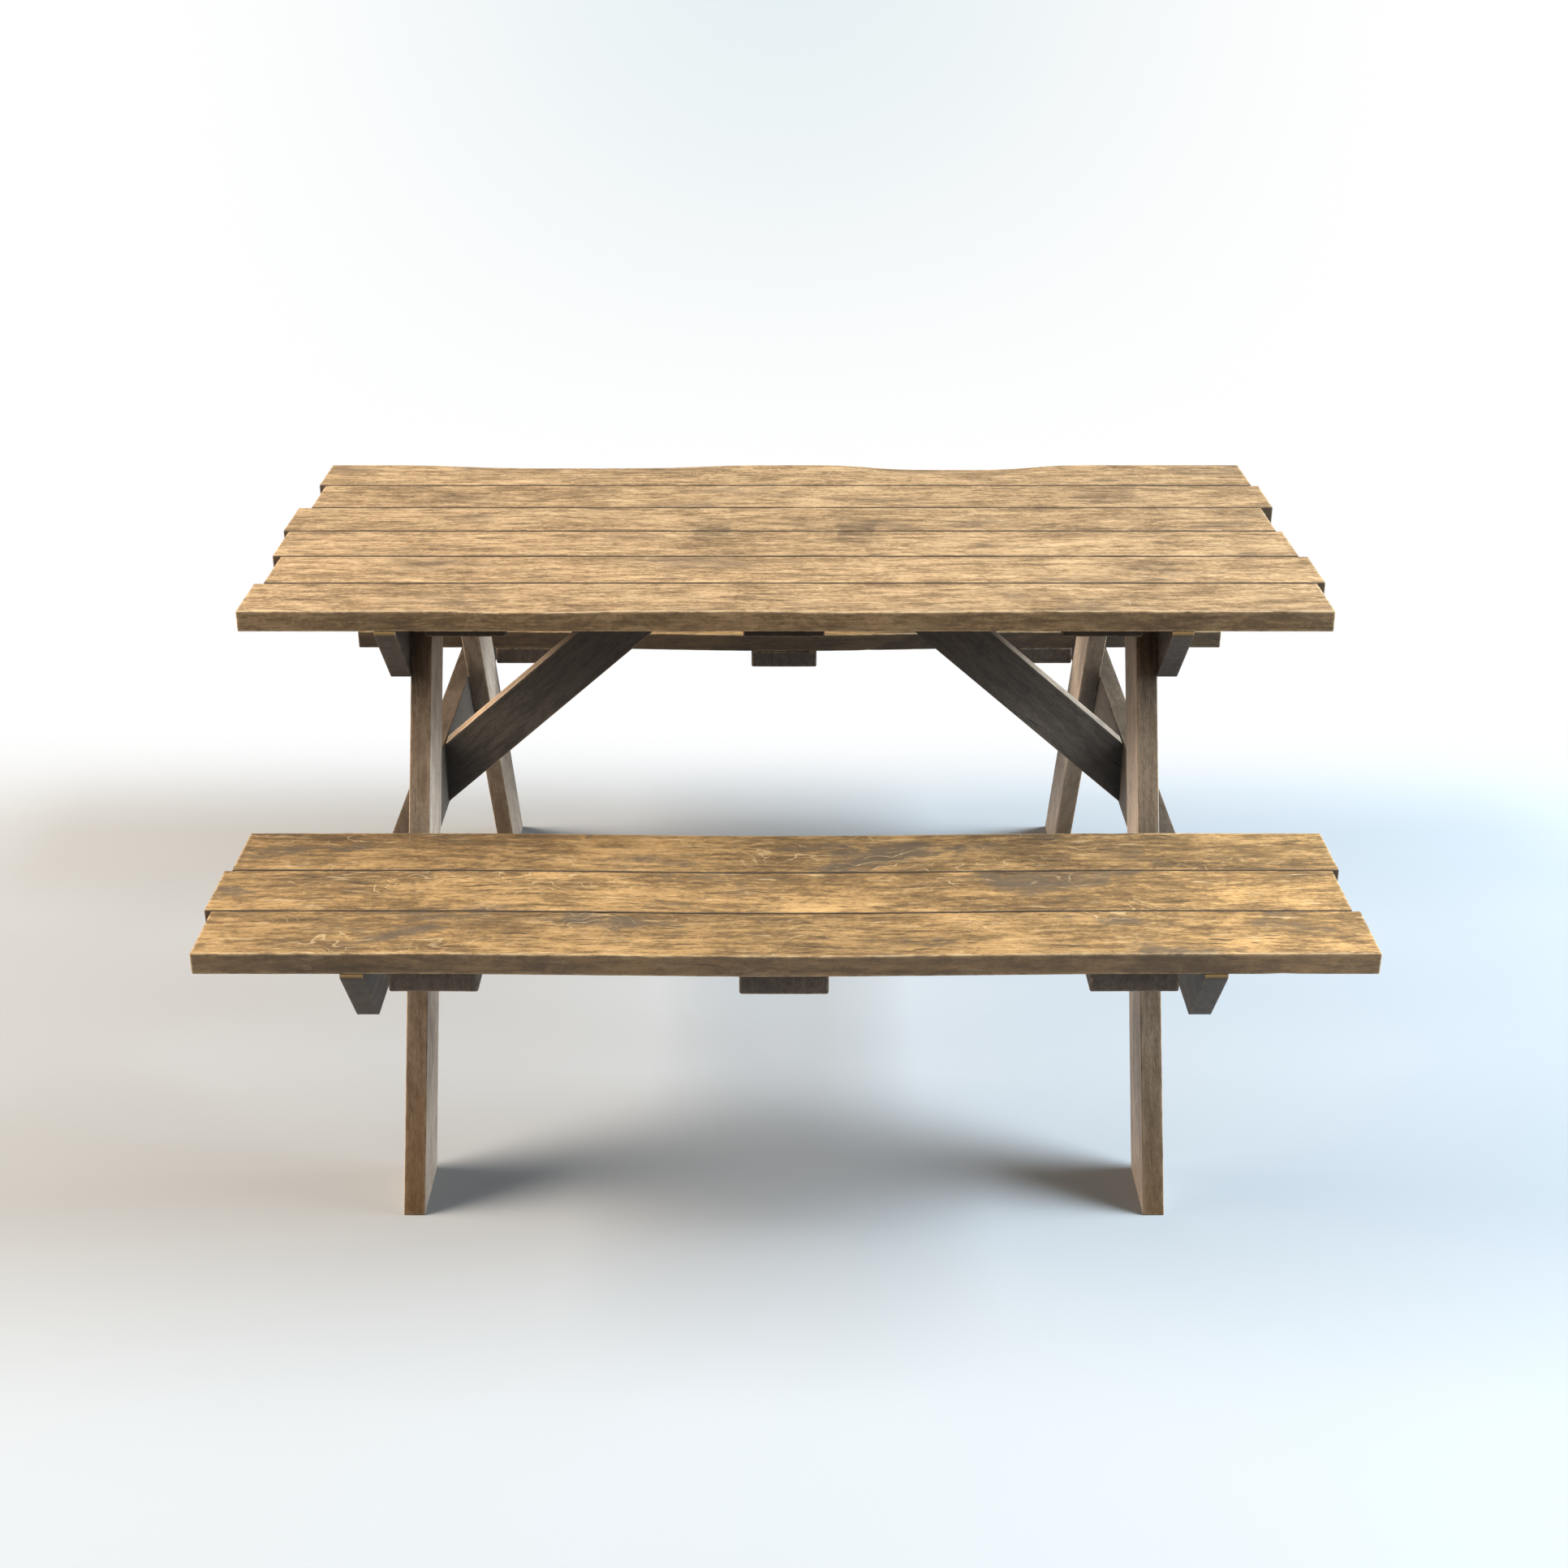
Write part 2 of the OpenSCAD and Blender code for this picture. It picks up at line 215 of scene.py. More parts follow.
# The rings and curls are sine waves: radians from end to end of the noise, and for a metre across the board.
RING_DENSITY = 95.0
KNOT_RING_DENSITY = 12.0
CURL_BEND = 42.0
CURL_DENSITY = 430.0
WOOD_SPECULAR = 0.36
WOOD_BUMP = 0.6
WOOD_BUMP_DEPTH = 1.2 * MM


def wood_material(name, look):
    """Old stained softwood. The 'grain' attribute gives metres along, across and through the board."""
    material, n = new_material(name)
    grain = n.attribute("grain", "Vector")
    arris = n.attribute("arris")
    end = n.attribute("end_grain")
    narrow = n.attribute("narrow")
    gap = n.attribute("gap")
    painted_contact_shade = n.attribute("painted_contact_shade")
    nose = n.attribute("nose")
    foot = n.attribute("foot")
    patch = n.attribute("patch")
    tone_and_shade = n.attribute("tone_and_shade")
    mid, dark, grime, bare = look["mid"], look["dark"], look["grime"], look["bare"]

    # The grain flows in slow bends, with small swirls on top of them.
    bends = n.noise(n.stretched(grain, 5.0, 9.0), 2.0, output="Color")
    flow = n.bent(grain, bends, (0.05, 0.022, 0.022))
    swirls = n.noise(n.stretched(grain, 30.0, 42.0), 2.0, output="Color")
    swirled = n.bent(flow, swirls, (0.045, 0.024, 0.024))

    # Light and dark at every size, from hand-wide clouds down to single fibres.
    cloud = n.noise(n.stretched(swirled, 3.0, 8.0), 4.0, 0.60)
    mottle = n.noise(n.stretched(swirled, 18.0, 34.0), 5.0, 0.70)
    speckle = n.noise(n.stretched(flow, 125.0, 195.0), 4.0, 0.85)
    streak = n.noise(n.stretched(flow, 13.0, 105.0), 5.0, 0.72)
    fibre = n.noise(n.stretched(flow, 70.0, 520.0), 2.0, 0.6)
    level = n.plus(
        n.centred(cloud, look["cloud"]), n.centred(mottle, look["mottle"]),
        n.centred(speckle, look["speckle"]), n.centred(streak, look["streak"]), n.centred(fibre, 0.9),
    )
    level = n.times(level, n.ramp(narrow, 0.0, 1.0, look["contrast"], look["narrow_contrast"]))
    base = n.mix(n.ramp(level, -0.12, 0.90, smooth=False), mid, look["pale"])
    base = n.mix(n.ramp(level, 0.08, -0.90, smooth=False), base, dark)

    # Crisp dark and pale dashes along the grain.
    dash = n.noise(n.stretched(flow, 17.0, 150.0), 3.0, 0.62)
    dash_area = n.ramp(n.noise(n.stretched(grain, 7.0, 18.0), 2.0), 0.40, 0.60, 0.15, 1.0)
    base = n.layer(base, dark, n.ramp(dash, 0.415, 0.350), n.times(dash_area, look["dash"]))
    base = n.layer(base, bare, n.ramp(dash, 0.605, 0.700), 0.4)

    # Growth rings show as thin contour lines, drawn out along the grain and bent round the knots.
    knot_distance = n.cells(n.stretched(flow, 2.3, 8.0))
    knot = n.ramp(knot_distance, 0.070, 0.040)
    halo = n.ramp(knot_distance, 0.34, 0.05)
    figure = n.noise(n.stretched(flow, 2.4, 11.0), 1.0)
    rings = n.plus(n.times(figure, RING_DENSITY), n.times(halo, KNOT_RING_DENSITY))
    late_wood = n.ramp(n.math("SINE", rings), 0.55, 1.0)
    base = n.layer(base, dark, late_wood, n.ramp(mottle, 0.62, 0.38, 0.0, look["rings"]))

    # Grey-brown weather stains with ragged borders.
    stain = n.noise(n.stretched(n.vector("ADD", swirled, (3.0, 1.0, 2.0)), 5.5, 13.0), 6.0, 0.66)
    stain = n.plus(stain, n.centred(speckle, 0.22), n.times(patch, 0.085))
    stained = n.times(n.ramp(stain, 0.545, 0.665), look["stain"])
    base = n.mix(stained, base, grime)

    # Short dark cracks along the grain.
    crack = n.noise(n.stretched(flow, 9.0, 170.0), 2.0)
    crack_area = n.ramp(n.noise(n.stretched(grain, 12.0, 30.0), 2.0), 0.50, 0.62)
    cracks = n.times(n.ramp(crack, 0.355, 0.285), crack_area)
    base = n.layer(base, n.mix(0.45, dark, CRACK_COLOUR), cracks, 0.62)

    # Thin dark veins everywhere, and wavy pale scratches in a few patches.
    vein = n.math("ABSOLUTE", n.math("SUBTRACT", n.noise(n.stretched(swirled, 9.0, 22.0), 2.0), 0.5))
    base = n.layer(base, dark, n.ramp(vein, 0.010, 0.002), 0.25)
    wave = n.noise(n.stretched(n.vector("ADD", swirled, (5.0, 2.0, 3.0)), 14.0, 20.0), 1.0)
    wave = n.plus(n.times(wave, CURL_BEND), n.times(n.split(swirled)[1], CURL_DENSITY))
    curl_area = n.noise(n.stretched(n.vector("ADD", grain, (1.0, 4.0, 7.0)), 8.0, 14.0), 4.0, 0.6)
    curl_area = n.ramp(n.plus(curl_area, n.times(patch, 0.08)), 0.50, 0.66)
    curls = n.times(n.ramp(n.math("SINE", wave), 0.86, 0.99), curl_area)
    base = n.layer(base, bare, curls, look["scratch"])

    base = n.layer(base, n.mix(0.35, dark, KNOT_COLOUR), knot, 0.65)

    # Sawn edges and ends take the stain differently, and narrow faces are also painted darker as painted
    # shade on faces turned from the lamps; the gaps between planks hold dirt and painted shade.
    base = n.layer(base, n.mix(0.5, base, look["narrow_tint"]), narrow, look["narrow"])
    sawn = n.noise(n.vector("MULTIPLY", flow, (30.0, 210.0, 14.0)), 3.0, 0.6)
    base = n.layer(base, n.mix(n.ramp(sawn, 0.35, 0.65), dark, grime), end, 0.6)
    base = n.layer(base, GAP_COLOUR, gap, 0.75)
    base = n.mix(foot, base, FOOT_TINT, "MULTIPLY")

    # Painted light and shade: each face has its own brightness, partly stain and partly how brightly it is
    # lit, and painted shade where another board touches it.
    shade = n.times(tone_and_shade, n.ramp(painted_contact_shade, 0.0, 1.0, 1.0, CONTACT_SHADE, smooth=False))
    base = n.mix(1.0, base, n.grey(shade), "MULTIPLY")
    base = n.layer(base, NOSE_COLOUR, nose, 0.80)

    # Arrises are painted pale: partly rubbed through to bare wood, partly a painted highlight where edges
    # catch the light, less so on faces painted dark for shade.
    rub_noise = n.noise(n.stretched(grain, 45.0, 120.0), 4.0, 0.65)
    rubbed_and_highlit = n.times(n.ramp(arris, 0.30, 0.85), n.ramp(rub_noise, 0.34, 0.62))
    rubbed_and_highlit = n.times(rubbed_and_highlit, n.ramp(tone_and_shade, 0.25, 0.80, 0.15, 1.0))
    base = n.layer(base, bare, rubbed_and_highlit, look["rub_and_highlight"])

    n.link(base, n.shader.inputs["Base Color"])
    rough = n.math("ADD", n.ramp(stained, 0.0, 1.0, 0.62, 0.76), n.centred(speckle, 0.35), clamp=True)
    n.link(rough, n.shader.inputs["Roughness"])
    height = n.plus(n.times(speckle, 0.7), n.times(streak, 0.5), n.times(fibre, 0.25))
    height = n.math("SUBTRACT", height, n.times(cracks, 0.8))
    height = n.math("SUBTRACT", height, n.times(curls, 0.15))
    n.link(n.bump(height, WOOD_BUMP, WOOD_BUMP_DEPTH), n.shader.inputs["Normal"])
    n.shader.inputs["Specular IOR Level"].default_value = WOOD_SPECULAR
    return material


ZINC_PALE = (0.66, 0.67, 0.66)
ZINC_GREY = (0.50, 0.50, 0.49)
ZINC_GRIME = (0.20, 0.17, 0.14)
ZINC_METALLIC = 0.85
ZINC_BUMP = 0.25
ZINC_BUMP_DEPTH = 0.3 * MM


def zinc_material():
    """Dull zinc plating with a crystalline mottle and a little grime."""
    material, n = new_material("zinc_plate")
    place = n.coordinates("Object")
    spangle = n.cells(place, 420.0, output="Color")
    grime = n.noise(place, 4.0, 0.6, scale=160.0)
    base = n.layer(ZINC_GREY, ZINC_PALE, n.split(spangle)[0], 0.35)
    base = n.mix(n.ramp(grime, 0.52, 0.70), base, ZINC_GRIME)
    n.link(base, n.shader.inputs["Base Color"])
    n.shader.inputs["Metallic"].default_value = ZINC_METALLIC
    n.link(n.ramp(grime, 0.35, 0.75, 0.34, 0.66), n.shader.inputs["Roughness"])
    n.link(n.bump(grime, ZINC_BUMP, ZINC_BUMP_DEPTH), n.shader.inputs["Normal"])
    return material


# Each look has its colours, the contrast on broad and on narrow faces, how strong each size of light
# and dark is, how well each kind of mark covers, and how strongly narrow faces and arrises differ.
PLANK_LOOK = {
    "pale": (0.525, 0.340, 0.176), "mid": (0.300, 0.176, 0.080), "dark": (0.100, 0.059, 0.026),
    "grime": (0.115, 0.076, 0.043), "bare": (0.620, 0.440, 0.245), "narrow_tint": (0.180, 0.115, 0.055),
    "contrast": 1.10, "narrow_contrast": 1.50,
    "cloud": 1.1, "mottle": 1.4, "speckle": 2.1, "streak": 2.8,
    "dash": 0.75, "rings": 0.35, "stain": 0.45, "scratch": 0.30,
    "narrow": 0.85, "rub_and_highlight": 0.55,
}
SEAT_LOOK = {
    **PLANK_LOOK,
    "pale": (0.470, 0.272, 0.105), "mid": (0.205, 0.112, 0.039), "dark": (0.056, 0.031, 0.013),
    "grime": (0.082, 0.053, 0.029), "bare": (0.560, 0.390, 0.205), "narrow_tint": (0.210, 0.140, 0.090),
    "contrast": 0.95, "narrow_contrast": 0.90,
    "cloud": 2.1, "speckle": 1.7,
    "dash": 0.80, "stain": 0.85, "scratch": 0.40,
}
FRAME_LOOK = {
    **PLANK_LOOK,
    "pale": (0.450, 0.350, 0.265), "mid": (0.320, 0.242, 0.180), "dark": (0.146, 0.108, 0.079),
    "grime": (0.085, 0.066, 0.052), "bare": (0.500, 0.350, 0.220), "narrow_tint": (0.215, 0.118, 0.042),
    "contrast": 0.9, "narrow_contrast": 1.7,
    "mottle": 0.8, "streak": 2.7,
    "dash": 0.25, "stain": 0.40, "scratch": 0.10,
    "narrow": 1.0, "rub_and_highlight": 0.3,
}
BATTEN_LOOK = {
    **FRAME_LOOK,
    "pale": (0.235, 0.150, 0.093), "mid": (0.150, 0.095, 0.058), "dark": (0.055, 0.034, 0.021),
    "narrow_tint": (0.160, 0.100, 0.060),
    "contrast": 1.4, "narrow_contrast": 1.4,
    "narrow": 0.2,
}


def make_materials():
    return {
        "tabletop_timber": wood_material("wood_tabletop", PLANK_LOOK),
        "seat_timber": wood_material("wood_seat", SEAT_LOOK),
        "batten_timber": wood_material("wood_batten", BATTEN_LOOK),
        "frame_timber": wood_material("wood_frame", FRAME_LOOK),
        "zinc_steel": zinc_material(),
    }


# ---------------------------------------------------------------- board outlines from the frame

def vertex_values(mesh, name):
    """The place ("co") or the normal of every vertex of a mesh."""
    values = np.zeros(3 * len(mesh.vertices))
    mesh.vertices.foreach_get(name, values)
    return values.reshape(-1, 3)


def mesh_points(node):
    return vertex_values(frame["nodes"][node].data, "co")


def convex_outline(points):
    """Convex outline of 2-D points, in order."""
    points = np.unique(np.round(points, 6), axis=0)
    return points[convex_hull_2d(points.tolist())]


SAME_PLACE = 1e-9
SHARE_SLACK = 1e-6


def ends_at(outline, w):
    """Where the outline starts and stops along the board, at each distance w across it."""
    w = np.clip(w, outline[:, 1].min(), outline[:, 1].max())
    low = np.full(w.shape, np.inf)
    high = np.full(w.shape, -np.inf)
    for (l0, w0), (l1, w1) in zip(outline, np.roll(outline, -1, axis=0)):
        if abs(w1 - w0) < SAME_PLACE:
            continue
        share = (w - w0) / (w1 - w0)
        inside = (share >= -SHARE_SLACK) & (share <= 1.0 + SHARE_SLACK)
        l = l0 + share * (l1 - l0)
        low = np.where(inside, np.minimum(low, l), low)
        high = np.where(inside, np.maximum(high, l), high)
    return low, high


class Board:
    """A CAD board's middle, its axes along, across and through it, and its outline on its broad face.

    In its own axes a point is l along it, w across its width and t through its thickness.
    """

    def __init__(self, node):
        low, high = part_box(node)
        self.node = node
        self.middle = np.array((low + high) / 2)
        size = np.array(high - low)
        self.through = np.eye(3)[int(np.argmin(size))]
        points = mesh_points(node) - self.middle
        flat = [axis for axis in np.eye(3) if not np.array_equal(axis, self.through)]
        outline = convex_outline(np.stack([points @ flat[0], points @ flat[1]], axis=1))
        edges = np.roll(outline, -1, axis=0) - outline
        longest = edges[int(np.argmax(np.hypot(*edges.T)))]
        longest = longest / np.hypot(*longest)
        along = longest[0] * flat[0] + longest[1] * flat[1]
        self.along = along * (1.0 if along[int(np.argmax(abs(along)))] > 0 else -1.0)
        self.across = np.cross(self.through, self.along)
        local = np.stack([points @ self.along, points @ self.across], axis=1)
        centre = (local[:, 1].max() + local[:, 1].min()) / 2
        self.middle = self.middle + centre * self.across
        local[:, 1] -= centre
        self.outline = convex_outline(local)
        self.half_width = (local[:, 1].max() - local[:, 1].min()) / 2
        self.half_thick = float(size.min()) / 2

    def to_local(self, world):
        offset = world - self.middle
        return offset @ self.along, offset @ self.across, offset @ self.through

    def to_world(self, l, w, t):
        return self.middle + np.outer(l, self.along) + np.outer(w, self.across) + np.outer(t, self.through)


# ---------------------------------------------------------------- worn board meshes

# Spacing of the grid lines along, across and through a board.
LINE_SPACING = 5 * MM
ACROSS_SPACING = 2.2 * LINE_SPACING
THROUGH_SPACING = 2.0 * LINE_SPACING
# Depths of the first grid lines below a face, in radii of the rounded edge.
ROUND_STEPS = (0.0, 0.423, 0.732, 1.0, 1.9)
LEAST_RADIUS = 0.5 * MM
# The most that an edge is worn back, as a share of half the board's thickness.
MOST_WORN = 0.85


def lines_between(half, radius, spacing, extra=()):
    """Grid lines from -half to half: close together in the rounded zones, then evenly spaced."""
    inner = half - ROUND_STEPS[-1] * radius
    count = max(1, int(round(2 * inner / spacing)))
    middle = list(np.linspace(-inner, inner, count + 1)) + [e for e in extra if abs(e) < inner]
    zone = [half - step * radius for step in ROUND_STEPS[:-1]]
    return np.array(sorted(set(np.round([-z for z in zone] + middle + zone, 6))))


RIPPLE_WAVES = 4
RIPPLE_LENGTHS = (0.6, 1.7)
# Uneven wear along an edge: the length of each ripple, and its height as a share of the radius.
WEAR = ((0.21, 0.25), (0.06, 0.15))
# Shortest and longest reach of a dent, and its least and greatest depth, in millimetres.
DENT_REACH = (5, 16)
DENT_DEPTH = (0.3, 1.5)


def ripple(x, random, wavelength):
    """Smooth random wave of about unit size, from a few sine waves."""
    total = np.zeros_like(x)
    for _ in range(RIPPLE_WAVES):
        length = wavelength * random.uniform(*RIPPLE_LENGTHS)
        total += np.sin(2 * math.pi * x / length + random.uniform(0, 2 * math.pi))
    return total / RIPPLE_WAVES


def arris_radii(l, random, radius, wobble, dents):
    """How far the corner of one long edge is worn back at each place along it."""
    worn = radius * (1.0 + wobble * sum(height * ripple(l, random, length) for length, height in WEAR))
    for _ in range(dents):
        place = random.uniform(l.min(), l.max())
        reach = random.uniform(*DENT_REACH) * MM
        depth = wobble * random.uniform(*DENT_DEPTH) * MM
        worn += depth * np.exp(-(((l - place) / reach) ** 2))
    return worn


def shell_of_box(counts):
    """Vertices, as grid indices, and quads of the surface of a box with that many grid lines each way."""
    nl, nw, nt = counts
    i, j, k = np.meshgrid(range(nl), range(nw), range(nt), indexing="ij")
    on_surface = (i == 0) | (i == nl - 1) | (j == 0) | (j == nw - 1) | (k == 0) | (k == nt - 1)
    number = np.full((nl, nw, nt), -1)
    number[on_surface] = np.arange(on_surface.sum())
    indices = np.stack([i[on_surface], j[on_surface], k[on_surface]], axis=1)

    def side(grid, flip):
        corners = [grid[:-1, :-1], grid[1:, :-1], grid[1:, 1:], grid[:-1, 1:]]
        quads = np.stack(corners, axis=-1).reshape(-1, 4)
        return quads[:, ::-1] if flip else quads

    quads = np.concatenate([
        side(number[:, :, -1], False), side(number[:, :, 0], True),
        side(number[:, 0, :], False), side(number[:, -1, :], True),
        side(number[0, :, :], True), side(number[-1, :, :], False),
    ])
    return indices, quads


def board_points(board, random, radius, wobble, dents):
    """Vertices of the worn board in its own axes, and its quads."""
    a, b = board.half_width, board.half_thick
    half_length = (board.outline[:, 0].max() - board.outline[:, 0].min()) / 2
    l_lines = lines_between(half_length, radius, LINE_SPACING)
    w_lines = lines_between(a, radius, ACROSS_SPACING, extra=board.outline[:, 1])
    t_lines = lines_between(b, radius, THROUGH_SPACING)
    indices, quads = shell_of_box((len(l_lines), len(w_lines), len(t_lines)))
    l, w, t = l_lines[indices[:, 0]], w_lines[indices[:, 1]], t_lines[indices[:, 2]]

    local_radius = np.zeros_like(l)
    for side_w in (-1, 1):
        for side_t in (-1, 1):
            quarter = (np.sign(w) == side_w) & (np.sign(t) == side_t)
            local_radius[quarter] = arris_radii(l, random, radius, wobble, dents)[quarter]
    local_radius = np.where(local_radius == 0, radius, local_radius)
    local_radius = np.clip(local_radius, LEAST_RADIUS, MOST_WORN * b)

    # Grid lines in the rounded zones follow the local radius.
    def follow(value, half):
        depth = half - abs(value)
        zone = ROUND_STEPS[-1] * radius
        scaled = np.where(depth < zone, depth * local_radius / radius, depth)
        return np.sign(value) * (half - np.minimum(scaled, half))

    l, w, t = follow(l, half_length), follow(w, a), follow(t, b)
    sharp = np.stack([l, w, t], axis=1)
    inset = np.array([half_length, a, b]) - local_radius[:, None]
    core = np.clip(sharp, -inset, inset)
    outward = sharp - core
    length = np.linalg.norm(outward, axis=1)
    length[length == 0] = 1.0
    rounded = core + outward * (local_radius / length)[:, None]

    # The square-ended block is sheared to the board's real end cuts.
    low, high = ends_at(board.outline, rounded[:, 1])
    rounded[:, 0] = low + (rounded[:, 0] / half_length + 1) / 2 * (high - low)
    return rounded, quads


# ---------------------------------------------------------------- where each mark lies on a board

# Widest gap between neighbouring planks.
NEIGHBOUR_GAP = 5 * MM
CONTACT_REACH = 90 * MM
# The painted shade reaches less far up the legs.
LEG_CONTACT_SHARE = 0.62
# How fast the painted shade fades on faces that turn away from the touching board.
AWAY_FADE = 2.5
ARRIS_REACH = 6.0 * MM
FACE_FADE = 1.5 * MM
# The dirt and painted shade between two planks stop this far in from their sides, and fade out over the last
# part.
GAP_DEPTH = 1.9 * MM
GAP_FADE = 1.1 * MM
# An arris beside another plank isn't rubbed.
SHELTERED = 10 * MM
# Height of the upright nose at the end of a bearer, which kept its first colour.
NOSE_HEIGHT = 5.0 * MM
# The narrow faces of the legs are darker and yellower near the ground, up to this height.
FOOT_TOP = 0.26
# Patches where the weather has got in: middle x and y, half length and half width.
PATCHES = {
    "front_seat_plank_outer": ((-0.56, -0.665, 0.08, 0.05), (-0.24, -0.645, 0.10, 0.05)),
    "front_seat_plank_middle": ((-0.53, -0.54, 0.05, 0.03), (0.33, -0.54, 0.06, 0.03)),
    "front_seat_plank_inner": ((-0.60, -0.41, 0.09, 0.03), (0.13, -0.43, 0.20, 0.05)),
    "tabletop_plank_1": ((0.41, -0.29, 0.06, 0.04), (-0.43, -0.28, 0.07, 0.03)),
    "tabletop_plank_4": ((-0.42, 0.06, 0.12, 0.04),),
    "tabletop_plank_5": ((0.04, 0.17, 0.14, 0.05),),
    "tabletop_plank_6": ((0.52, 0.28, 0.07, 0.04),),
}


def faces_neighbour(board, side):
    """Whether another plank of the same top lies within a few millimetres of this long side."""
    probe = board.to_world(0.0, side * (board.half_width + NEIGHBOUR_GAP), 0.0)[0]
    return any(
        node != board.node and np.all(probe >= low) and np.all(probe <= high)
        for node, (low, high) in PLANK_BOXES.items()
    )


def near(distance, reach):
    """1 at no distance, falling evenly to 0 at reach."""
    return np.clip(1.0 - distance / reach, 0.0, 1.0)


def contact_shade_mask(board, boards, points, normals, reach):
    """Painted shade where boards meet, standing in for the light they block: 1 at a touching board, 0 some
    way off it or on the far side.
    """
    mask = np.zeros(len(points))
    for other in boards.values():
        if other is board or "plank" in other.node and "plank" in board.node:
            continue
        l, w, t = other.to_local(points)
        low, high = other.outline[:, 0].min(), other.outline[:, 0].max()
        nearest = np.stack([
            np.clip(l, low, high), np.clip(w, -other.half_width, other.half_width),
            np.clip(t, -other.half_thick, other.half_thick),
        ])
        way = other.to_world(*nearest) - points
        distance = np.linalg.norm(way, axis=1)
        facing = np.sum(way * normals, axis=1) / np.maximum(distance, MM)
        turned = np.clip(1.0 + AWAY_FADE * np.minimum(facing, 0.0), 0.0, 1.0)
        mask = np.maximum(mask, near(distance, reach) ** 2 * turned)
    return mask


def patch_mask(node, points):
    """Soft-edged ovals, as seen from above."""
    mask = np.zeros(len(points))
    for x, y, long, wide in PATCHES.get(node, ()):
        away = ((points[:, 0] - x) / long) ** 2 + ((points[:, 1] - y) / wide) ** 2
        mask = np.maximum(mask, np.exp(-away))
    return mask


def surface_masks(board, local):
    """For each vertex, how much it lies on an end, a narrow side, an arris, in a gap or on a nose."""
    l, w, t = local.T
    low, high = ends_at(board.outline, w)
    to_end = np.minimum(l - low, high - l)
    gaps = np.sort(np.stack([to_end, board.half_width - abs(w), board.half_thick - abs(t)]), axis=0)
    arris = near(gaps[1], ARRIS_REACH)
    end = near(to_end, FACE_FADE)
    narrow = near(board.half_width - abs(w), FACE_FADE)
    gap = np.zeros_like(w)
    for side in (-1, 1):
        if faces_neighbour(board, side):
            depth = board.half_width - side * w
            gap = np.maximum(gap, np.clip((GAP_DEPTH - depth) / GAP_FADE, 0.0, 1.0))
            arris = np.where(depth < SHELTERED, 0.0, arris)
    nose = end * (board.half_width - w < NOSE_HEIGHT) if "bearer" in board.node else np.zeros_like(w)
    return {"end_grain": end, "arris": arris, "narrow": narrow, "gap": gap, "nose": nose}


def store(mesh, name, kind, values):
    attribute = mesh.attributes.new(name, kind, "POINT")
    field = "vector" if kind == "FLOAT_VECTOR" else "value"
    attribute.data.foreach_set(field, np.asarray(values, np.float32).ravel())


def mesh_object(name, points, faces):
    mesh = bpy.data.meshes.new(name)
    mesh.from_pydata(points.tolist(), [], faces.tolist())
    mesh.update()
    piece = bpy.data.objects.new(name, mesh)
    bpy.context.scene.collection.objects.link(piece)
    return piece


# ---------------------------------------------------------------- sag and worn edges

SAG_REACH = 0.45
FRONT_SAG = 3.8 * MM
REAR_SAG = 6.3 * MM
# Worn hollows along the tabletop's outer edges: middle, half length and depth.
FRONT_HOLLOWS = ((-0.325, 0.085, 2.1 * MM), (0.115, 0.12, 1.3 * MM))
REAR_HOLLOWS = ((-0.315, 0.20, 5.2 * MM), (0.260, 0.14, 7.6 * MM))
HOLLOW_WIDTH = 60 * MM


def sagged(points, depth):
    """The seats hang lowest halfway between the two frames."""
    share = np.clip(abs(points[:, 0]) / SAG_REACH, 0.0, 1.0)
    moved = points.copy()
    moved[:, 2] -= depth * (1 + np.cos(math.pi * share)) / 2
    return moved


def hollowed(points, hollows, edge_y):
    """Lowers the upper face towards the tabletop's outer edge; the underside stays flat."""
    depth = sum(d * np.exp(-(((points[:, 0] - x) / reach) ** 4)) for x, reach, d in hollows)
    inwards = np.clip(abs(points[:, 1] - edge_y) / HOLLOW_WIDTH, 0.0, 1.0)
    fade = 1 - inwards * inwards * (3 - 2 * inwards)
    low, high = points[:, 2].min(), points[:, 2].max()
    moved = points.copy()
    moved[:, 2] -= depth * fade * (points[:, 2] - low) / (high - low)
    return moved


def shaped(node, points):
    """The node's sag or wear, on points in the shared frame."""
    if node.startswith("front_seat"):
        return sagged(points, FRONT_SAG)
    if node.startswith("rear_seat"):
        return sagged(points, REAR_SAG)
    if node == "tabletop_plank_1":
        return hollowed(points, FRONT_HOLLOWS, points[:, 1].min())
    if node == "tabletop_plank_6":
        return hollowed(points, REAR_HOLLOWS, points[:, 1].max())
    return points


def reshape(mesh, node):
    mesh.vertices.foreach_set("co", shaped(node, vertex_values(mesh, "co")).ravel())


# ---------------------------------------------------------------- kinds of board and their brightness

# Radius of the worn edges, how uneven they are, and the number of dents in each.
KINDS = {
    "plank": {"radius": 1.8 * MM, "wobble": 1.0, "dents": 5},
    "batten": {"radius": 3.0 * MM, "wobble": 0.3, "dents": 1},
    "bearer": {"radius": 1.3 * MM, "wobble": 0.3, "dents": 1},
    "leg": {"radius": 1.3 * MM, "wobble": 0.4, "dents": 1},
    "brace": {"radius": 1.2 * MM, "wobble": 0.4, "dents": 1},
}

# Painted light and shade, partly stain: brightness on broad faces and on narrow ones, set to how brightly
# each kind of board is lit, and how strong the painted shade is where boards touch.
KIND_TONE_AND_SHADE = {
    "plank": (0.97, 0.95, 0.43),
    "batten": (1.10, 1.10, 0.39),
    "bearer": (0.39, 0.39, 0.70),
    "leg": (1.18, 0.73, 0.92),
    "brace": (0.29, 1.10, 0.86),
}
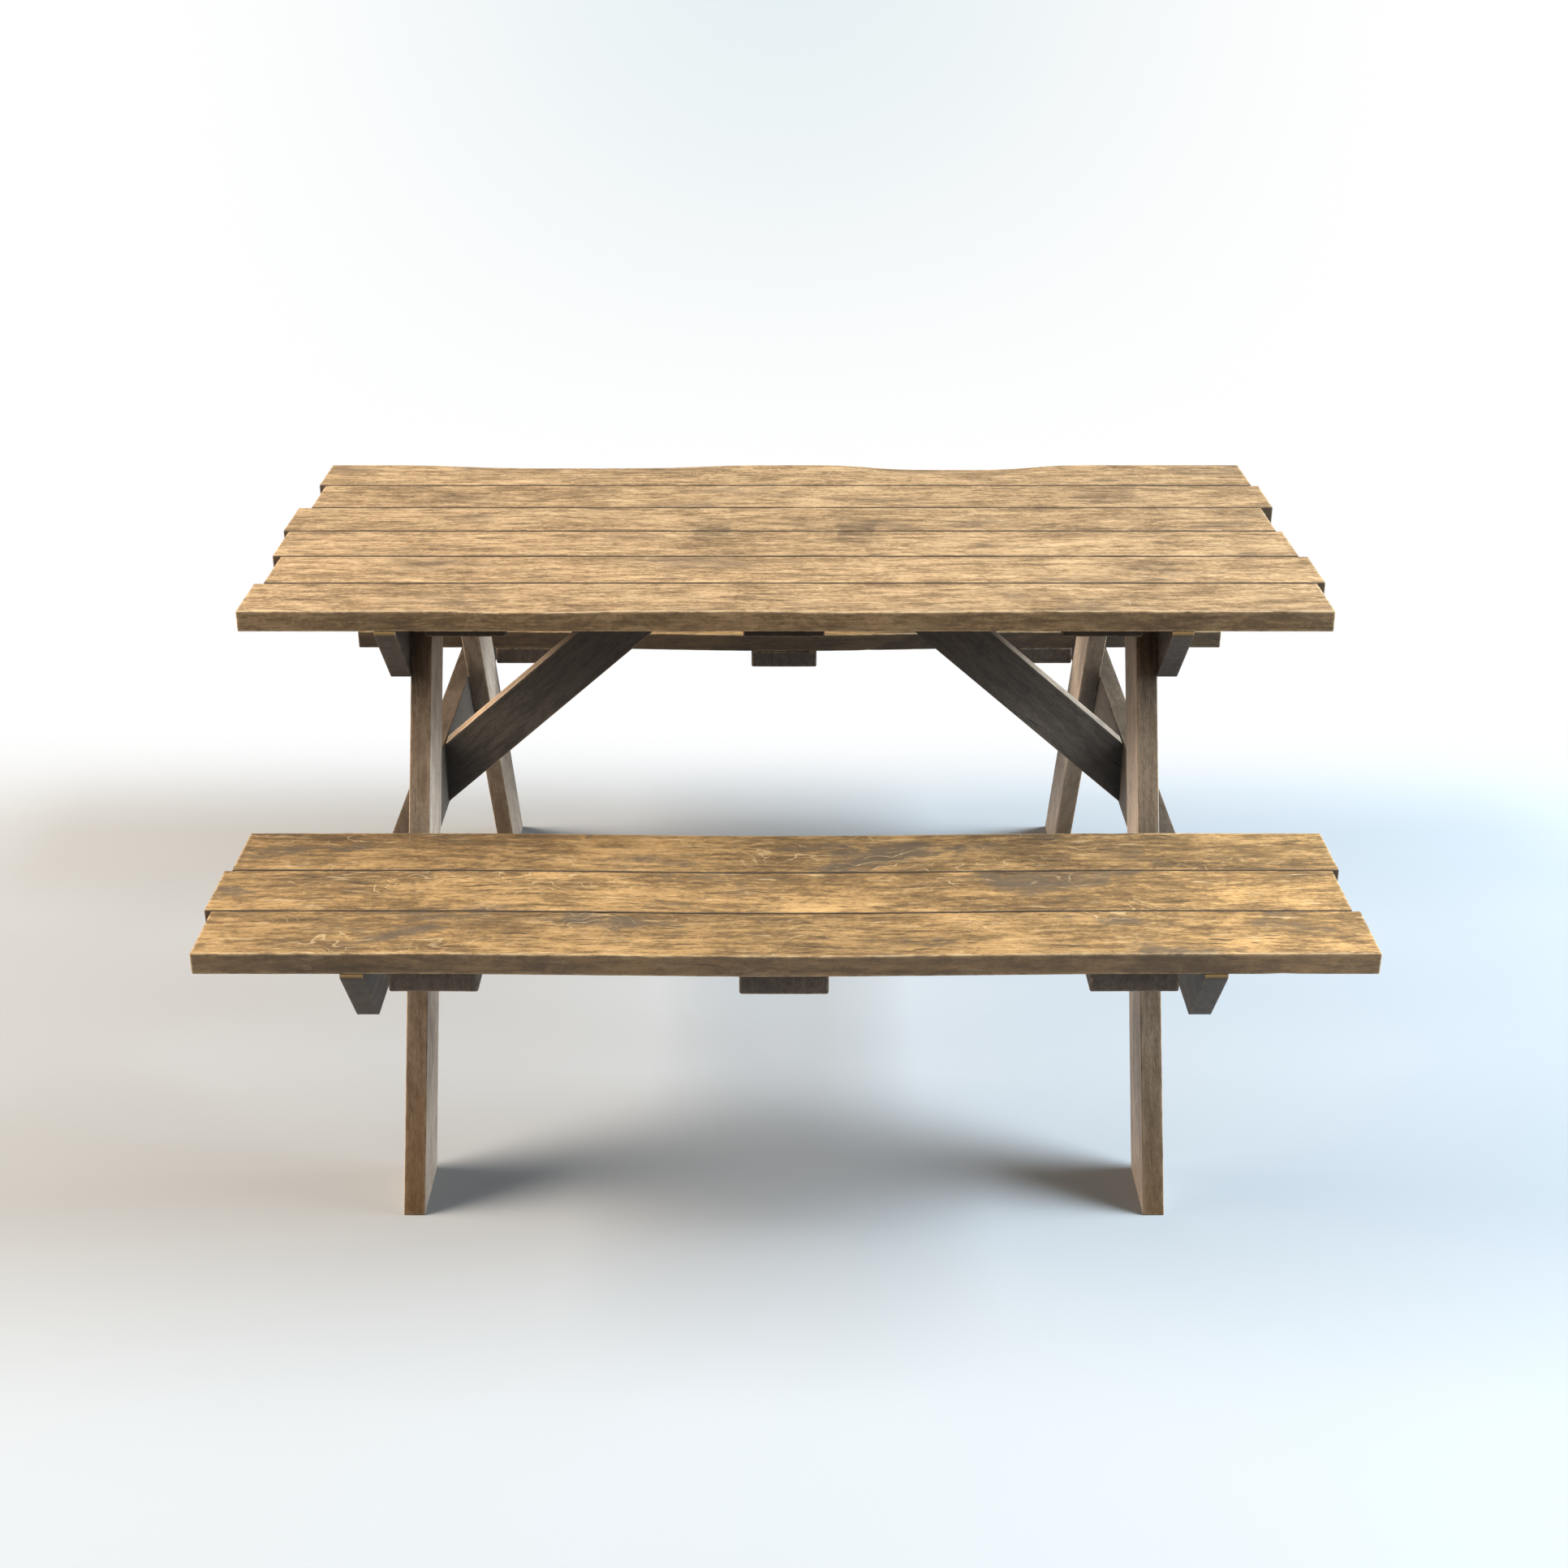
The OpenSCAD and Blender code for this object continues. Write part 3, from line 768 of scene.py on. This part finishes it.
# Some boards are painted darker or paler than their kind, on broad faces and on narrow ones: partly their own
# stain, partly painted shade on boards and faces that lie under the tabletop.
BOARD_TONE_AND_SHADE = {
    "rear_seat_plank_inner": (1.0, 0.35),
    "rear_seat_batten": (0.6, 0.6),
    "tabletop_batten": (0.8, 0.32),
    "front_seat_plank_inner": (0.88, 0.88),
    "tabletop_plank_1": (0.96, 1.0),
    "tabletop_plank_2": (1.05, 1.0),
    "tabletop_plank_4": (0.91, 1.0),
}
# No two boards took the stain quite alike.
TONE_SPREAD = 0.06
# The front seat is bleached towards its right-hand end, by this much from BLEACH_TO on.
BLEACH = 0.42
BLEACH_FROM = 0.33
BLEACH_TO = 0.62
# Painted light: the inner faces of the legs are painted brighter than the outer ones, standing in for the
# side light that falls on them under the table; the outer broad faces are darker by this share.
LEG_OUTER_SHADE = 0.45
# Painted light and shade: the braces are palest at this height and a little darker away from it, towards
# their ends, as painted shade where they meet the legs and the tabletop.
BRACE_PALE_Z = 0.453
BRACE_PALE_REACH = 0.045
BRACE_DARK = 0.77
BRACE_PALE = 0.50


def tone_and_shade_of(node, kind, points, masks, random):
    """How bright each vertex of a board is painted, before its wood figure: partly stain, partly painted
    light and shade.
    """
    broad, side, _ = KIND_TONE_AND_SHADE[kind]
    for start, (broad_share, side_share) in BOARD_TONE_AND_SHADE.items():
        if node.startswith(start):
            broad *= broad_share
            side *= side_share
    end_or_side = np.maximum(masks["narrow"], masks["end_grain"])
    tone_and_shade = random.uniform(1.0 - TONE_SPREAD, 1.0 + TONE_SPREAD) * (broad + (side - broad) * end_or_side)
    if node.startswith("front_seat_plank"):
        bleached = np.clip((points[:, 0] - BLEACH_FROM) / (BLEACH_TO - BLEACH_FROM), 0.0, 1.0)
        tone_and_shade *= 1.0 + BLEACH * bleached
    if kind == "leg":
        outer = abs(points[:, 0]) > abs(points[:, 0]).mean()
        tone_and_shade *= 1.0 - LEG_OUTER_SHADE * (1.0 - end_or_side) * outer
    if kind == "brace":
        tone_and_shade *= BRACE_DARK + BRACE_PALE * np.exp(-(((points[:, 2] - BRACE_PALE_Z) / BRACE_PALE_REACH) ** 2))
    return tone_and_shade


# ---------------------------------------------------------------- screw holes in the boards

HEAD_ROOM = 0.3 * MM
HEAD_DEPTH = 3.3 * MM
# A head this far outside a board's box still has its recess cut in the board.
HEAD_OUTSIDE = 2 * MM
CUTTER_REACH = 45 * MM
CUTTER_SIDES = 24


def solids_of(node):
    """The points of each separate solid in a group of fasteners."""
    mesh = frame["nodes"][node].data
    points, merged = np.unique(np.round(mesh_points(node), 6), axis=0, return_inverse=True)
    ends = np.zeros(2 * len(mesh.edges), dtype=int)
    mesh.edges.foreach_get("vertices", ends)
    pairs = merged.ravel()[ends].reshape(-1, 2)
    label = np.arange(len(points))
    while True:
        lowest = label.copy()
        np.minimum.at(lowest, pairs[:, 0], label[pairs[:, 1]])
        np.minimum.at(lowest, pairs[:, 1], label[pairs[:, 0]])
        if np.array_equal(lowest, label):
            return [points[label == value] for value in np.unique(label)]
        label = lowest


def screw_head(points):
    """The middle of a screw's outer end face, the way that face looks, and the head's radius."""
    middle = points.mean(axis=0)
    axis = np.linalg.svd(points - middle, full_matrices=False)[2][0]
    along = (points - middle) @ axis
    out = np.linalg.norm(points - middle - np.outer(along, axis), axis=1)
    if along[int(np.argmax(out))] < 0:
        axis, along = -axis, -along
    return middle + along.max() * axis, axis, out.max()


def wood_screw_heads():
    groups = [n for n in frame["nodes"] if n.endswith("screws") and "coach" not in n]
    return [screw_head(points) for node in sorted(groups) for points in solids_of(node)]


def hole_cutter(heads):
    """One mesh of cylinders that open the wood from each screw's head outwards."""
    cutter = bpy.data.meshes.new("hole_cutter")
    shapes = bmesh.new()
    for face, axis, radius in heads:
        turn = Vector(axis).to_track_quat("Z", "Y").to_matrix().to_4x4()
        middle = Vector(face + axis * (CUTTER_REACH - HEAD_DEPTH) / 2)
        room = radius + HEAD_ROOM
        bmesh.ops.create_cone(
            shapes, cap_ends=True, segments=CUTTER_SIDES, radius1=room, radius2=room,
            depth=CUTTER_REACH + HEAD_DEPTH, matrix=Matrix.Translation(middle) @ turn,
        )
    shapes.to_mesh(cutter)
    shapes.free()
    return bpy.data.objects.new("hole_cutter", cutter)


def open_holes(piece, node, heads):
    """Cuts the recesses of the screws whose heads sit inside this board."""
    low, high = (np.array(corner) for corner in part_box(node))
    mine = [h for h in heads if np.all(h[0] > low - HEAD_OUTSIDE) and np.all(h[0] < high + HEAD_OUTSIDE)]
    if not mine:
        return
    cutter = hole_cutter(mine)
    bpy.context.scene.collection.objects.link(cutter)
    cut = piece.modifiers.new("holes", "BOOLEAN")
    cut.operation = "DIFFERENCE"
    cut.solver = "EXACT"
    cut.object = cutter
    uncut = piece.data
    result = piece.evaluated_get(bpy.context.evaluated_depsgraph_get())
    piece.data = bpy.data.meshes.new_from_object(result)
    piece.modifiers.clear()
    bpy.data.meshes.remove(uncut)
    bpy.data.meshes.remove(cutter.data)


# ---------------------------------------------------------------- making the pieces

SHARP_ANGLE = math.radians(42.0)
FIRST_SEED = 1000
# Each board shows its own part of the wood figure: metres of shift along it, and across and through it.
SHIFT_ALONG = 20.0
SHIFT_ACROSS = 12 * MM


def grain_places(local, random):
    """Where each vertex lies in the wood figure."""
    shift = [random.uniform(-reach, reach) for reach in (SHIFT_ALONG, SHIFT_ACROSS, SHIFT_ACROSS)]
    flip = random.choice((-1.0, 1.0))
    return local * np.array([flip, 1.0, 1.0]) + np.array(shift)


def store_looks(mesh, node, kind, boards, random):
    """Stores what the wood material reads from each vertex: its place in the grain, and the masks."""
    board = boards[node]
    world = vertex_values(mesh, "co")
    normals = vertex_values(mesh, "normal")
    local = np.stack(board.to_local(world), axis=1)
    store(mesh, "grain", "FLOAT_VECTOR", grain_places(local, random))
    masks = surface_masks(board, local)
    masks["tone_and_shade"] = tone_and_shade_of(node, kind, world, masks, random)
    masks["patch"] = patch_mask(node, world)
    masks["foot"] = near(world[:, 2], FOOT_TOP) * masks["narrow"] * (kind == "leg")
    # Painted shade where boards touch, standing in for the light they block.
    reach = CONTACT_REACH * (LEG_CONTACT_SHARE if kind == "leg" else 1.0)
    _, _, contact_shade_strength = KIND_TONE_AND_SHADE[kind]
    masks["painted_contact_shade"] = contact_shade_strength * contact_shade_mask(board, boards, world, normals, reach)
    for name, values in masks.items():
        store(mesh, name, "FLOAT", values)


def make_board(node, boards, heads, materials, random):
    kind = next(k for k in KINDS if k in node)
    board = boards[node]
    worn, quads = board_points(board, random, **KINDS[kind])
    piece = mesh_object("worn_" + node, board.to_world(*worn.T), quads)
    open_holes(piece, node, heads)
    store_looks(piece.data, node, kind, boards, random)
    reshape(piece.data, node)
    piece.data.polygons.foreach_set("use_smooth", [True] * len(piece.data.polygons))
    piece.data.set_sharp_from_angle(angle=SHARP_ANGLE)
    piece.data.materials.clear()
    piece.data.materials.append(materials[SLOT_OF[node]])
    piece.data.update()
    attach(piece, BODY)
    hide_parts(node)


def make_boards(materials):
    nodes = [n for n in frame["nodes"] if any(k in n for k in KINDS) and "screw" not in n]
    boards = {node: Board(node) for node in sorted(nodes)}
    heads = wood_screw_heads()
    for number, node in enumerate(boards):
        make_board(node, boards, heads, materials, Random(FIRST_SEED + number))


def make_fasteners(materials):
    """The screws get their plating, and the seats' batten screws follow the sag."""
    for node, part in frame["nodes"].items():
        if SLOT_OF[node] != "zinc_steel":
            continue
        if "_seat_batten_screws" in node:
            piece = bpy.data.objects.new("sagged_" + node, part.data.copy())
            bpy.context.scene.collection.objects.link(piece)
            reshape(piece.data, node)
            piece.data.update()
            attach(piece, BODY)
            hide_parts(node)
            part = piece
        part.data.materials.clear()
        part.data.materials.append(materials["zinc_steel"])


# ---------------------------------------------------------------- studio

def area_light(name, place, aim, size, power, colour):
    data = bpy.data.lights.new(name, "AREA")
    data.shape = "RECTANGLE"
    data.size, data.size_y = size
    data.energy = power
    data.color = colour
    lamp = bpy.data.objects.new(name, data)
    lamp.location = place
    lamp.rotation_euler = (Vector(aim) - Vector(place)).to_track_quat("-Z", "Y").to_euler()
    lamp.visible_camera = False
    bpy.context.scene.collection.objects.link(lamp)


SIDE_LIGHT_AWAY = 6.42
SIDE_LIGHT_HEIGHT = 3.2
SIDE_LIGHT_SIZE = (3.5, 4.5)
LIGHT_AIM = (0.0, 0.0, 0.4)
LEFT_WATTS = 1460
RIGHT_WATTS = 2210
WARM = (1.0, 0.920, 0.822)
COOL = (0.720, 0.870, 1.0)


def make_lights():
    left = (-SIDE_LIGHT_AWAY, 0.0, SIDE_LIGHT_HEIGHT)
    right = (SIDE_LIGHT_AWAY, 0.0, SIDE_LIGHT_HEIGHT)
    area_light("warm_left", left, LIGHT_AIM, SIDE_LIGHT_SIZE, LEFT_WATTS, WARM)
    area_light("cool_right", right, LIGHT_AIM, SIDE_LIGHT_SIZE, RIGHT_WATTS, COOL)


FLOOR_RADIUS = 7.0
FLOOR_SIDES = 128
FLOOR_GREY = (0.348, 0.352)
FLOOR_SPECKLE = 3.0
FLOOR_ROUGHNESS = 0.9
FLOOR_SPECULAR = 0.1
# The floor fades into the backdrop between these distances from its middle, and between these y.
FADE_RADII = (2.6, 5.0)
FADE_BEHIND = (0.66, 1.06)


def make_floor():
    bpy.ops.mesh.primitive_circle_add(
        vertices=FLOOR_SIDES, radius=FLOOR_RADIUS, fill_type="NGON", location=(0, 0, 0),
    )
    floor = bpy.context.object
    floor.name = "studio_floor"
    material, n = new_material("studio_floor")
    place = n.coordinates("Object")
    grey = n.ramp(n.noise(place, scale=FLOOR_SPECKLE), 0.0, 1.0, *FLOOR_GREY)
    n.link(n.grey(grey), n.shader.inputs["Base Color"])
    n.shader.inputs["Roughness"].default_value = FLOOR_ROUGHNESS
    n.shader.inputs["Specular IOR Level"].default_value = FLOOR_SPECULAR
    inside = n.ramp(n.vector("LENGTH", place), *FADE_RADII, 1.0, 0.0)
    in_front = n.ramp(n.split(place)[1], *FADE_BEHIND, 1.0, 0.0)
    n.link(n.times(inside, in_front), n.shader.inputs["Alpha"])
    floor.data.materials.append(material)


FILL_STRENGTH = 0.18
WHITE = (1.0, 1.0, 1.0)
GLOW_COLOUR = (0.80, 0.875, 0.90)
# The glow rises between these heights of the view's direction, and fades out to each side of the middle.
GLOW_RISE = (-0.30, -0.06)
GLOW_HALF_WIDTH = 0.28


def make_world():
    """White behind the floor with a faint blue-grey glow overhead, and a faint even fill on the object."""
    world = bpy.data.worlds.new("studio")
    world.use_nodes = True
    bpy.context.scene.world = world
    n = Nodes(world.node_tree)
    seen = n.tree.nodes.new("ShaderNodeLightPath").outputs["Is Camera Ray"]
    n.link(n.ramp(seen, 0.0, 1.0, FILL_STRENGTH, 1.0), n.shader.inputs["Strength"])
    x, _, z = n.split(n.coordinates("Generated"))
    above = n.ramp(z, *GLOW_RISE)
    middle = n.ramp(n.math("ABSOLUTE", x), GLOW_HALF_WIDTH, 0.0)
    n.link(n.layer(WHITE, GLOW_COLOUR, above, middle), n.shader.inputs["Color"])


make_camera()
make_world()
make_floor()
make_lights()
MATERIALS = make_materials()
make_boards(MATERIALS)
make_fasteners(MATERIALS)
bpy.context.scene.view_settings.view_transform = "Standard"
